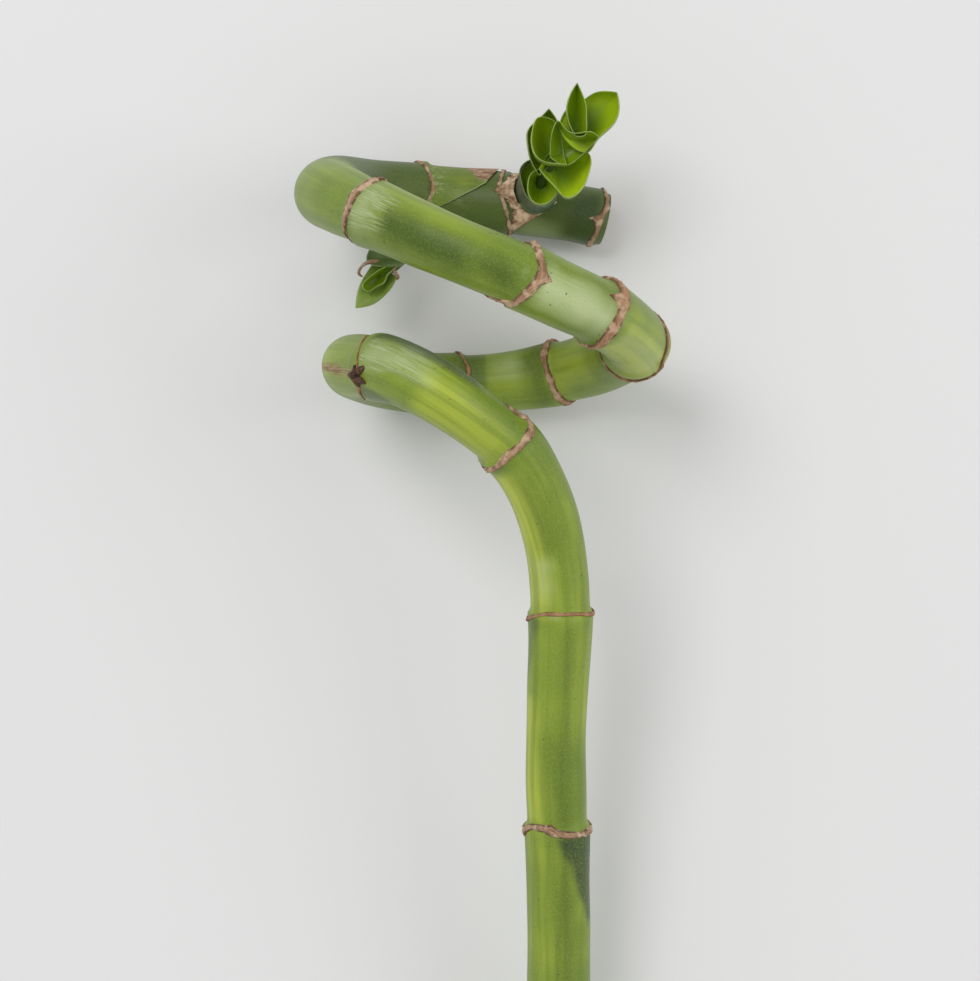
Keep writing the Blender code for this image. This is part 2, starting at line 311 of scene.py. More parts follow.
class Finish:
    """A material with its Principled shader and the vertex attributes that its masks read."""

    def __init__(self, name, roughness=0.5):
        self.material = bpy.data.materials.new(name)
        self.material.use_nodes = True
        self.tree = self.material.node_tree
        self.shader = self.tree.nodes["Principled BSDF"]
        self.shader.inputs["Roughness"].default_value = roughness

    def attribute(self, name, output):
        return add_node(self.tree, "ShaderNodeAttribute", {"attribute_name": name}, output)

    def mask(self, name):
        return self.attribute(name, ATTRIBUTE_NUMBER)

    def place(self, name):
        return self.attribute(name, ATTRIBUTE_VECTOR)

    def grain(self, place, scale, detail=3.0, rough=0.55):
        """Noise at a place, with features of about one over the scale in mm."""
        return add_node(self.tree, "ShaderNodeTexNoise", None, Vector=place, Scale=scale,
                        Detail=detail, Roughness=rough)

    def set(self, name, value):
        put(self.tree, self.shader.inputs[name], value)

    def bump(self, height, distance, strength=1.0):
        self.set("Normal", add_node(self.tree, "ShaderNodeBump", None, Height=height,
                                    Distance=distance, Strength=strength))


# ---------------------------------------------------------------- finishes

def cane_finish():
    """Satin green skin, finely speckled, with dark bruises and dry tan cuts, painted light on its lit
    sides, painted shade, and painted highlights on pale patches and wrinkles.
    """
    f = Finish("cane_skin", 0.36)
    f.set("Specular IOR Level", 0.42)
    fibres = f.grain(f.place("grain"), 2.6, 4.0, 0.6)
    streaks = f.grain(f.place("grain"), 0.42, 3.0, 0.55)
    leather = f.grain(f.place("soft"), 2.1, 3.0, 0.6)
    clouds = f.grain(f.place("soft"), 0.05, 2.0, 0.5)
    dots = f.grain(f.place("soft"), 1.1, 1.0, 0.4).ramp(0.765, 0.80)
    green = mix(clouds.ramp(0.35, 0.7), (0.165, 0.250, 0.016), (0.265, 0.355, 0.026))
    # Painted light: the sides of the cane that face the lamps, a brighter yellow-green.
    green = mix(f.mask("lit_and_brighter_green"), green, (0.450, 0.530, 0.045))
    green = mix(streaks.ramp(0.38, 0.66) * 0.5, green, (0.120, 0.190, 0.013))
    # Painted shade over the back stretches of the coil.
    green = mix(f.mask("shade"), green, (0.048, 0.078, 0.020))
    # Painted shade: a darker, more saturated green where the cane lies in shadow.
    green = mix(f.mask("painted_shade"), green, (0.060, 0.110, 0.002))
    speckle = leather.ramp(0.42, 0.75) * (0.34 - f.mask("shade") * 0.26 - f.mask("painted_shade") * 0.14)
    green = mix(speckle, green, (0.330, 0.420, 0.110))
    green = mix(fibres.ramp(0.55, 0.80) * 0.16, green, (0.30, 0.38, 0.12))
    green = mix(f.mask("bruise") * leather.ramp(1.2, 0.2), green, (0.026, 0.050, 0.018))
    # Painted highlights: pale patches where the satin skin would catch the lamps.
    green = mix(f.mask("pale") * leather.ramp(-0.2, 0.5), green, (0.50, 0.58, 0.29))
    # Painted highlights on the wrinkles' ridges; the same mask also raises the wrinkles in the bump.
    green = mix(f.mask("wrinkle_highlight") * fibres.ramp(0.44, 0.66), green, (0.43, 0.52, 0.27))
    green = mix(dots * 0.8, green, (0.035, 0.045, 0.010))
    dry = mix(fibres.ramp(0.40, 0.62), (0.20, 0.105, 0.055), (0.50, 0.33, 0.21))
    green = mix(f.mask("tan"), green, dry)
    f.set("Base Color", green)
    f.set("Roughness", 0.29 + leather * 0.18 + f.mask("tan") * 0.3 + f.mask("painted_shade") * 0.15)
    f.bump(leather * 0.35 + fibres * (0.15 + f.mask("wrinkle_highlight") * 1.1) + streaks * 0.2, 0.0003, 0.5)
    return f.material


def sheath_finish():
    """Dry tan sheath, pale in patches and dark brown along its split edges."""
    f = Finish("dry_sheath", 0.72)
    strands = f.grain(f.place("grain"), 1.6, 4.0, 0.65)
    patches = f.grain(f.place("soft"), 0.45, 3.0, 0.5)
    colour = mix(strands.ramp(0.34, 0.60), (0.20, 0.098, 0.052), (0.50, 0.315, 0.185))
    colour = mix(patches.ramp(0.42, 0.66) * 0.8, colour, (0.76, 0.58, 0.40))
    colour = mix(f.mask("warm") * 0.75, colour, (0.44, 0.190, 0.070))
    colour = mix(f.mask("edge") * patches.ramp(0.66, 0.44) * 0.9, colour, (0.105, 0.048, 0.026))
    f.set("Base Color", colour)
    f.bump(strands, 0.0005, 0.8)
    return f.material


def bud_finish():
    """Dark brown shrivelled tissue."""
    f = Finish("dry_bud", 0.82)
    grain = f.grain(f.place("soft"), 1.2, 4.0, 0.6)
    f.set("Base Color", mix(grain.ramp(0.35, 0.7), (0.030, 0.014, 0.008), (0.19, 0.095, 0.045)))
    f.bump(grain, 0.0006, 0.8)
    return f.material


def leaf_finish():
    """Waxy green leaf with lengthwise veins, its inside brightened by painted light and darkened by painted
    shade towards its foot, with a thin pale rim that is partly a painted highlight.
    """
    f = Finish("leaf", 0.34)
    f.set("Specular IOR Level", 0.4)
    veins = f.grain(f.place("grain"), 1.0, 2.0, 0.5)
    clouds = f.grain(f.place("soft"), 0.16, 2.0, 0.5)
    # Painted light: the glow brightens the inside, and less the outside, as if light shone through the
    # leaf.
    inside = mix(f.mask("glow"), (0.215, 0.360, 0.005), (0.58, 0.76, 0.018))
    # Painted shade: the inside darkens towards the foot of the cup.
    inside = mix(f.mask("painted_shade") * 0.6, inside, (0.070, 0.140, 0.002))
    outside = mix(clouds.ramp(0.35, 0.7), (0.120, 0.200, 0.030), (0.230, 0.330, 0.075))
    outside = mix(f.mask("glow") * 0.6, outside, (0.330, 0.460, 0.040))
    outside = mix(f.mask("dull"), outside, (0.052, 0.092, 0.052))
    colour = mix(f.mask("inner"), outside, inside)
    colour = mix(veins.ramp(0.50, 0.75) * 0.16, colour, (0.36, 0.50, 0.12))
    # A thin pale rim, partly a painted highlight where the lip would curl and catch the light.
    colour = mix(f.mask("rim"), colour, (0.50, 0.60, 0.30))
    f.set("Base Color", colour)
    f.set("Roughness", 0.30 + veins * 0.15)
    f.bump(veins, 0.0003, 0.4)
    return f.material


def floor_finish():
    """Matt light grey."""
    f = Finish("studio_floor", 0.9)
    f.set("Base Color", (0.79, 0.79, 0.79))
    f.set("Specular IOR Level", 0.1)
    return f.material


# ---------------------------------------------------------------- mesh helpers

def grid_faces(rows, columns, closed):
    """Quads of a grid of points, wrapping round its columns if it is closed."""
    across = columns if closed else columns - 1
    i, j = np.meshgrid(np.arange(rows - 1), np.arange(across), indexing="ij")
    k = (j + 1) % columns
    return np.stack([i * columns + j, i * columns + k, (i + 1) * columns + k,
                     (i + 1) * columns + j], axis=-1).reshape(-1, 4)


def make_piece(name, points, faces, material, attributes, node):
    """A piece from plant-frame points, with its vertex attributes, standing for a CAD node."""
    mesh = bpy.data.meshes.new(name)
    mesh.from_pydata(laid(points).tolist(), [], [list(map(int, face)) for face in faces])
    mesh.update()
    for label, values in attributes.items():
        values = np.asarray(values, np.float32)
        kind, field = ("FLOAT_VECTOR", "vector") if values.ndim == 2 else ("FLOAT", "value")
        layer = mesh.attributes.new(label, kind, "POINT")
        layer.data.foreach_set(field, values.ravel())
    for face in mesh.polygons:
        face.use_smooth = True
    mesh.materials.append(material)
    piece = bpy.data.objects.new(name, mesh)
    bpy.context.scene.collection.objects.link(piece)
    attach(piece, "root")
    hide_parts(node)
    return piece


def fuzz(points, size, seed=0.0):
    """Smooth noise at each point, about -1 to 1, with features of a size in mm."""
    return np.array([noise.noise(Vector(p) / size + Vector((seed, seed, seed))) for p in points])


# ---------------------------------------------------------------- the cane

SKIN_STEP = 0.8
SKIN_SIDES = 72
UNEVEN = 0.22                # how far the skin swells and shrinks
UNEVEN_SIZE = 16.0
GRAIN_RADIUS = 8.0           # of the fibres' own space, in which they are drawn out along the cane
GRAIN_STRETCH = 0.06
CUT_TAN = 0.85               # how dry the cut faces are
# Each cut face's rings from its rim to its middle: share of the rim, and how far it sinks in.
BASE_CUT = [(0.93, 0.15), (0.6, 0.5), (0.02, 0.7)]
TIP_CUT = [(0.88, 0.15), (0.6, 0.5), (0.02, 0.7)]

# Soft-edged marks on the skin: where each starts and ends along the cane, the least and greatest
# angle at its start, the same at its end, and how strong it is.
BRUISES = [
    (110.0, 133.5, 58, 80, 4, 110, 1.0),
    (170.0, 189.0, -110, -84, -110, -38, 0.55),
    (253.0, 279.0, 74, 125, 62, 125, 0.85),
    (268.0, 279.5, -75, -50, -85, -22, 0.8),
    (352.0, 360.0, 60, 260, 90, 200, 0.5),
    (632.0, 639.0, 100, 170, 70, 190, 0.6),
]
# Painted shade: darker, more saturated green where the cane lies in shadow, also made rougher; same columns
# as above.
PAINTED_SHADE_MARKS = [
    (484.0, 506.0, -80, -20, -70, -10, 1.0),
    (474.0, 484.0, -85, -30, -60, -25, 0.9),
    (371.0, 378.5, 90, 270, 90, 270, 0.7),
    (70.0, 186.0, -8, 30, -5, 25, 0.5),
    (206.0, 232.0, -20, 10, -10, 20, 0.35),
    (400.0, 415.0, 130, 240, 130, 240, 0.3),
    (598.0, 640.0, 60, 200, 60, 200, 0.25),
]
# Painted highlights on the satin skin, pale; same columns as above.
PAINTED_HIGHLIGHT_MARKS = [
    (450.5, 470.0, -70, -20, -64, -8, 0.95),
    (363.0, 370.0, 135, 175, 135, 175, 0.5),
    (619.0, 630.0, 150, 195, 155, 195, 0.35),
    (508.0, 514.5, -70, -5, -75, 10, 0.5),
    (263.0, 276.0, 30, 60, 5, 62, 0.5),
    (194.0, 206.0, -40, -26, -40, -20, 0.5),
    (421.0, 447.0, -80, -40, -80, -40, 0.35),
]
# Wrinkled places: bumped, with painted highlights on their ridges; same columns as above.
WRINKLE_HIGHLIGHTS = [
    (262.0, 277.5, 25, 68, -8, 66, 0.9),
    (505.0, 515.0, -60, 10, -72, 20, 0.9),
    (460.0, 470.5, -30, -5, -60, 0, 0.6),
    (598.0, 604.0, 70, 130, 70, 130, 0.4),
]
# Painted light on the cane's lit sides, a brighter yellow-green; same columns as above.
PAINTED_LIGHT_MARKS = [
    (191.0, 234.0, -85, -20, -80, -20, 1.0),
    (136.0, 168.0, -85, -20, -85, -45, 0.9),
    (160.0, 186.0, 40, 75, 40, 75, 0.5),
    (100.0, 131.0, -70, -10, -70, -10, 0.3),
    (240.0, 262.0, -70, 30, -60, 60, 0.75),
    (284.0, 300.0, -60, 60, -60, 60, 0.25),
    (421.0, 448.0, -115, -25, -115, -25, 0.8),
    (360.0, 410.0, 130, 220, 130, 220, 0.4),
]
TAN_MARKS = [(278.0, 303.0, -22, -8, -9, 3, 0.9)]
# Stretches of cane with painted shade, a darker, bluer green where the back of the coil lies in shadow:
# start, end and strength.
SHADY = [(300.0, 360.0, 0.35), (548.0, 660.0, 0.80)]
SHADE_FADE = 12.0
SOFT_EDGE = 14.0             # degrees
SOFT_START = 3.5
SOFT_END = 1.2
RAGGED_SIZE = 5.0
RAGGED_TURN = 9.0            # degrees
RAGGED_ENDS = 0.3            # as a share of the soft end
BLURRED = 3.0                # how many times softer a blurred mark is


def patch(s, turn, points, marks, blur=1.0):
    """How strongly a set of marks covers each place, with uneven edges."""
    total = np.zeros_like(s)
    uneven = fuzz(points, RAGGED_SIZE, seed=3.0)
    soft_start, soft_end = SOFT_START * blur ** 0.5, SOFT_END * blur
    for start, end, low_0, high_0, low_1, high_1, strength in marks:
        share = np.clip((s - start) / (end - start), 0, 1)
        low, high = low_0 + (low_1 - low_0) * share, high_0 + (high_1 - high_0) * share
        middle = (low + high) / 2
        around = np.abs((np.degrees(turn) - middle + 180) % 360 - 180) - (high - low) / 2
        across = np.clip(0.5 - (around + uneven * RAGGED_TURN) / (SOFT_EDGE * blur), 0, 1)
        ends = np.minimum((s - start) / soft_start, (end - s) / soft_end)
        ends = np.clip(ends + 0.5 + uneven * RAGGED_ENDS, 0, 1)
        total = np.maximum(total, strength * across * ends)
    return total


def shade(s):
    """How strongly shade is painted on the cane at each length along it."""
    total = np.zeros_like(s)
    for start, end, strength in SHADY:
        inside = np.clip((s - start) / SHADE_FADE, 0, 1) * np.clip((end - s) / SHADE_FADE, 0, 1)
        total = np.maximum(total, strength * inside)
    return total


def cut_rings(rim, inward, cut):
    """A cut face's rings of points, from its rim to its middle."""
    middle = rim.mean(axis=0)
    return [middle + (rim - middle) * share + inward * sink for share, sink in cut]


def cut_faces(rim, rings, count, flip):
    """A cut's faces, from the number of its rim's first point and that of its rings' first point."""
    starts = [rim] + [rings + k * SKIN_SIDES for k in range(count)]
    loops = [np.arange(SKIN_SIDES) + start for start in starts]
    faces = []
    for low, high in zip(loops, loops[1:]):
        quads = np.stack([low, np.roll(low, -1), np.roll(high, -1), high], axis=1)
        faces.extend(quads[:, ::-1] if flip else quads)
    faces.append(loops[-1][::-1] if flip else loops[-1])
    return faces


def make_cane(material):
    """The skin as rows of points along the cane, closed by a cut face at each end."""
    rows = np.linspace(0, cane.length, int(cane.length / SKIN_STEP))
    turns = np.linspace(0, 2 * pi, SKIN_SIDES, endpoint=False)
    s, turn = (grid.ravel() for grid in np.meshgrid(rows, turns, indexing="ij"))
    skin = cane.surface(s, turn)
    out = skin - cane.read(cane.centre, s)
    out /= np.linalg.norm(out, axis=1)[:, None]
    skin = skin + out * fuzz(skin, UNEVEN_SIZE)[:, None] * UNEVEN
    base = cut_rings(skin[:SKIN_SIDES], cane.tangent[0], BASE_CUT)
    tip = cut_rings(skin[-SKIN_SIDES:], -cane.tangent[-1], TIP_CUT)
    points = np.concatenate([skin, *base, *tip])
    base_end = len(skin) + SKIN_SIDES * len(base)
    faces = list(grid_faces(len(rows), SKIN_SIDES, True))
    faces += cut_faces(0, len(skin), len(base), flip=True)
    faces += cut_faces(len(skin) - SKIN_SIDES, base_end, len(tip), flip=False)
    is_cut = np.arange(len(points)) >= len(skin)
    s = np.concatenate([s, np.zeros(base_end - len(skin)), np.full(len(points) - base_end, cane.length)])
    turn = np.tile(turns, len(points) // SKIN_SIDES)
    grain = np.stack([np.cos(turn) * GRAIN_RADIUS, np.sin(turn) * GRAIN_RADIUS, s * GRAIN_STRETCH], axis=1)
    attributes = {
        "grain": grain,
        "soft": points,
        "bruise": patch(s, turn, points, BRUISES),
        "painted_shade": patch(s, turn, points, PAINTED_SHADE_MARKS, BLURRED),
        "pale": patch(s, turn, points, PAINTED_HIGHLIGHT_MARKS, BLURRED),
        "lit_and_brighter_green": patch(s, turn, points, PAINTED_LIGHT_MARKS, BLURRED),
        "wrinkle_highlight": patch(s, turn, points, WRINKLE_HIGHLIGHTS),
        "shade": shade(s),
        "tan": np.maximum(is_cut * CUT_TAN, patch(s, turn, points, TAN_MARKS)),
    }
    make_piece("cane", points, faces, material, attributes, "stem")


# ---------------------------------------------------------------- dry collars

# Each collar's width, thickness and how orange it is, in the order of the rings.
COLLAR_SIZES = [
    (1.8, 0.5, 0.2), (1.8, 0.5, 0.4), (1.9, 0.55, 0.0), (1.1, 0.4, 0.9), (2.1, 0.5, 0.3),
    (0.8, 0.35, 1.0), (1.4, 0.45, 0.9), (2.4, 0.55, 0.4), (1.3, 0.5, 0.8), (2.3, 0.55, 0.5),
    (2.1, 0.55, 0.3), (2.1, 0.55, 0.2), (1.9, 0.5, 0.3), (1.2, 0.5, 0.2), (1.5, 0.45, 0.2),
]
# Where a collar has a ragged point: its number, angle, how far it reaches along and how wide it is.
POINTS = [
    (3, -80, -1.5, 10), (3, -12, 0.9, 8), (5, 104, 2.2, 10), (8, 150, -1.4, 18), (10, 0, 4.0, 9),
    (11, -26, -1.7, 8), (11, -124, 2.6, 9), (12, -20, 1.2, 16), (15, 125, -3.2, 9), (15, 95, 0.8, 7),
    (6, -40, 1.2, 8), (12, 32, 1.5, 9), (8, 200, 1.2, 9),
]
COLLAR_SIDES = 220
RING_BLUR = 12               # degrees to either side over which a ring's line is smoothed
NOISE_RADIUS = 9.0           # of each collar's own circle in the noise
NOISE_PITCH = 7.0            # between the circles of two collars
# The band's section: share of the half width along the cane, share of the thickness outwards,
# and whether it is a dark edge.
BAND = [(-1.0, -0.4, 0.6), (-0.8, 0.6, 1.0), (-0.45, 1.0, 0.2), (0.0, 0.75, 0.0), (0.45, 0.85, 0.0),
        (0.8, 0.5, 0.9), (1.0, -0.4, 0.6), (0.0, -0.5, 0.0)]


def ring_line(ring, turns):
    """The ring's place along the cane at each angle, smooth and unbroken all round."""
    angles = np.array([angle for angle, _ in ring], float)
    places = np.array([place for _, place in ring])
    angles = np.concatenate([angles - 360, angles, angles + 360])
    places = np.tile(places, 3)
    order = np.argsort(angles)
    fine = (np.degrees(turns)[:, None] + np.linspace(-RING_BLUR, RING_BLUR, 9)) % 360
    return np.interp(fine, angles[order], places[order]).mean(axis=1)


def make_collar(number, ring, size, material):
    """A ragged band that follows the ring's line round the cane."""
    width, thickness, warm = size
    turns = np.linspace(0, 2 * pi, COLLAR_SIDES, endpoint=False)
    line = ring_line(ring, turns)
    circle = np.stack([np.cos(turns) * NOISE_RADIUS, np.sin(turns) * NOISE_RADIUS,
                       np.full_like(turns, number * NOISE_PITCH)], axis=1)
    half = width / 2 * (1 + 0.40 * fuzz(circle, 3.2) + 0.22 * fuzz(circle, 0.9, seed=5.0))
    low_reach, high_reach = np.zeros_like(turns), np.zeros_like(turns)
    for owner, angle, reach, spread in POINTS:
        if owner == number:
            around = np.abs((np.degrees(turns) - angle + 180) % 360 - 180)
            spike = abs(reach) * np.exp(-(around / spread) ** 1.3)
            low_reach += spike if reach < 0 else 0
            high_reach += spike if reach > 0 else 0
    rows, grain, edge = [], [], []
    for k, (along, out, dark) in enumerate(BAND):
        ragged = fuzz(circle + k * 3.1, 0.6) * 0.25 * abs(along)
        reach = np.where(along < 0, low_reach, high_reach) * along
        s = np.clip(line + along * half + ragged + reach, 0.0, cane.length - 0.02)
        lift = thickness * out * (1 + 0.4 * fuzz(circle + k * 1.7, 1.0)) if out > 0 else out * 0.6
        rows.append(cane.surface(s, turns, lift))
        strand = np.full_like(turns, k * 1.3)
        grain.append(np.stack([turns * 3.2, strand, np.full_like(turns, number)], axis=1))
        edge.append(np.full_like(turns, dark))
    points = np.concatenate(rows)
    faces = grid_faces(len(BAND), COLLAR_SIDES, True)
    low = np.arange(COLLAR_SIDES) + (len(BAND) - 1) * COLLAR_SIDES
    high = np.arange(COLLAR_SIDES)
    faces = np.concatenate([faces, np.stack([low, np.roll(low, -1), np.roll(high, -1), high], axis=1)])
    attributes = {"grain": np.concatenate(grain), "soft": points, "edge": np.concatenate(edge),
                  "warm": np.full(len(points), warm)}
    name = f"sheath_collar_{number:02d}"
    make_piece(f"dry_collar_{number:02d}", points, faces, material, attributes, name)


# ---------------------------------------------------------------- sheets: leaves and sheaths

# The size of a sheet in its veins' own space, in which they are drawn out from foot to rim.
VEINS_ACROSS = 9.0
VEINS_ALONG = 1.2


def rounded_off(t):
    """The sheet's thickness, as a share, from its foot to its thinner rim."""
    return 1 - 0.6 * t ** 12


def make_sheet(name, middle, thickness, material, node, masks):
    """A thin closed sheet on both sides of a grid of points. Masks are grids of the same size."""
    along, across = middle.shape[:2]
    normal = np.cross(np.gradient(middle, axis=1), np.gradient(middle, axis=0))
    normal /= np.maximum(np.linalg.norm(normal, axis=2), 1e-9)[..., None]
    t, u = np.meshgrid(np.linspace(0, 1, along), np.linspace(-1, 1, across), indexing="ij")
    half = (thickness / 2 * rounded_off(t))[..., None]
    outer, inner = (middle + normal * half).reshape(-1, 3), (middle - normal * half).reshape(-1, 3)
    count = across * along
    quads = grid_faces(along, across, False)
    border = np.concatenate([np.arange(across), np.arange(1, along) * across + across - 1,
                             (np.arange(across - 1)[::-1]) + (along - 1) * across,
                             np.arange(1, along - 1)[::-1] * across])
    onward = np.roll(border, -1)
    edge = np.stack([border, border + count, onward + count, onward], axis=1)
    faces = np.concatenate([quads, quads[:, ::-1] + count, edge])

    def both(values):
        return np.concatenate([values.ravel(), values.ravel()])

    points = np.concatenate([outer, inner])
    is_inner = np.concatenate([np.zeros(count), np.ones(count)])
    grain = np.stack([both(u) * VEINS_ACROSS, both(t) * VEINS_ALONG, is_inner], axis=1)
    attributes = {"grain": grain, "soft": points, "inner": is_inner}
    attributes.update({label: both(values) for label, values in masks.items()})
    return make_piece(name, points, faces, material, attributes, node)


class Shoot:
    """A side shoot's bent axis, from its seat to its tip, and directions across it."""

    BEFORE = -0.2            # how far below its seat the axis goes on, as a share of its length

    def __init__(self, seat, bend, tip, seat_radius, tip_radius, stalk_length):
        self.seat, self.bend, self.tip = (np.array(point) for point in (seat, bend, tip))
        self.seat_radius, self.tip_radius, self.stalk_length = seat_radius, tip_radius, stalk_length
        self.length = run_length(self.bezier(np.linspace(0, 1, 41)))[-1]

    def bezier(self, t):
        t = np.asarray(t)[..., None]
        return self.seat * (1 - t) ** 2 + self.bend * 2 * t * (1 - t) + self.tip * t ** 2

    def frame(self, height):
        """The axis at a height: its point and two directions across it."""
        share = np.clip(np.asarray(height) / self.length, self.BEFORE, 1.0)
        t = share[..., None]
        axis = (self.bend - self.seat) * (1 - t) + (self.tip - self.bend) * t
        axis /= np.linalg.norm(axis, axis=-1)[..., None]
        right = np.array([1.0, 0, 0]) - axis * axis[..., :1]
        right /= np.linalg.norm(right, axis=-1)[..., None]
        return self.bezier(share), right, np.cross(axis, right)

    def at(self, height, turn, out):
        """The point a distance off the axis, at a height and an angle round it."""
        centre, right, up = self.frame(height)
        across = right * np.cos(turn)[..., None] + up * np.sin(turn)[..., None]
        return centre + across * np.asarray(out)[..., None]

    def radius(self, height):
        share = np.clip(np.asarray(height) / self.stalk_length, 0, 1)
        return self.seat_radius + (self.tip_radius - self.seat_radius) * share


TOP_SHOOT = Shoot((11.7, 76.7, -29.1), (13.5, 82.0, -14.0), (25.0, 95.5, -4.0), 3.2, 1.4, 27.0)
SIDE_SHOOT = Shoot((-14.5, 68.6, -34.5), (-22.0, 61.0, -33.0), (-33.5, 49.5, -28.5), 1.8, 1.0, 18.0)


class Leaf:
    """A leaf from its foot to its rim, which is a line of points, in two parts if it has a tip.

    foot_radius is how far its first row stands from the foot's middle; cup is 1 for a bowl that
    opens upwards and 0 for a blade that arches over; belly swells it outwards between the foot and
    the rim; glow is painted light, how much it brightens the inside; dull how grey the outside is."""

    def __init__(self, node, foot, rim, tip=None, foot_radius=0.3, cup=1.0, belly=0.15, glow=0.5,
                 dull=0.0, name=None):
        self.node, self.foot, self.rim, self.tip = node, np.array(foot), np.array(rim, float), tip
        self.foot_radius, self.cup, self.belly = foot_radius, cup, belly
        self.glow, self.dull = glow, dull
        self.name = name or node.replace("side_", "small_") + "_blade"

    def rim_line(self, count):
        """The rim at even steps, smooth but for the tip."""
        parts = [self.rim] if self.tip is None else [self.rim[:self.tip + 1], self.rim[self.tip:]]
        lines = []
        for part in parts:
            knots = run_length(part)
            lines.append(spline(knots, part, np.linspace(0, knots[-1], 200)))
        line = np.concatenate(lines)
        run = run_length(line)
        steps = np.linspace(0, run[-1], count)
        return np.stack([np.interp(steps, run, line[:, k]) for k in range(3)], axis=1)

    def surface(self, across, along):
        """Points of the leaf, rows from the foot to the rim."""
        rim = self.rim_line(across)
        level = rim - self.foot
        level[:, 2] = 0
        foot = self.foot + level / np.linalg.norm(level, axis=1)[:, None] * self.foot_radius
        t = np.linspace(0, 1, along)[:, None]
        early, late = np.sin(t * pi / 2), 1 - np.cos(t * pi / 2)
        flat = early * self.cup + t * (1 - self.cup) + self.belly * np.sin(t * pi)
        rise = late * self.cup + early * (1 - self.cup)
        share = np.stack([np.repeat(flat, across, 1), np.repeat(flat, across, 1),
                          np.repeat(rise, across, 1)], axis=2)
        grid = foot + (rim - foot) * share
        facing_up = np.cross(np.gradient(grid, axis=1), np.gradient(grid, axis=0))[..., 2].mean() > 0
        return grid[:, ::-1] if facing_up == (self.cup > 0.5) else grid


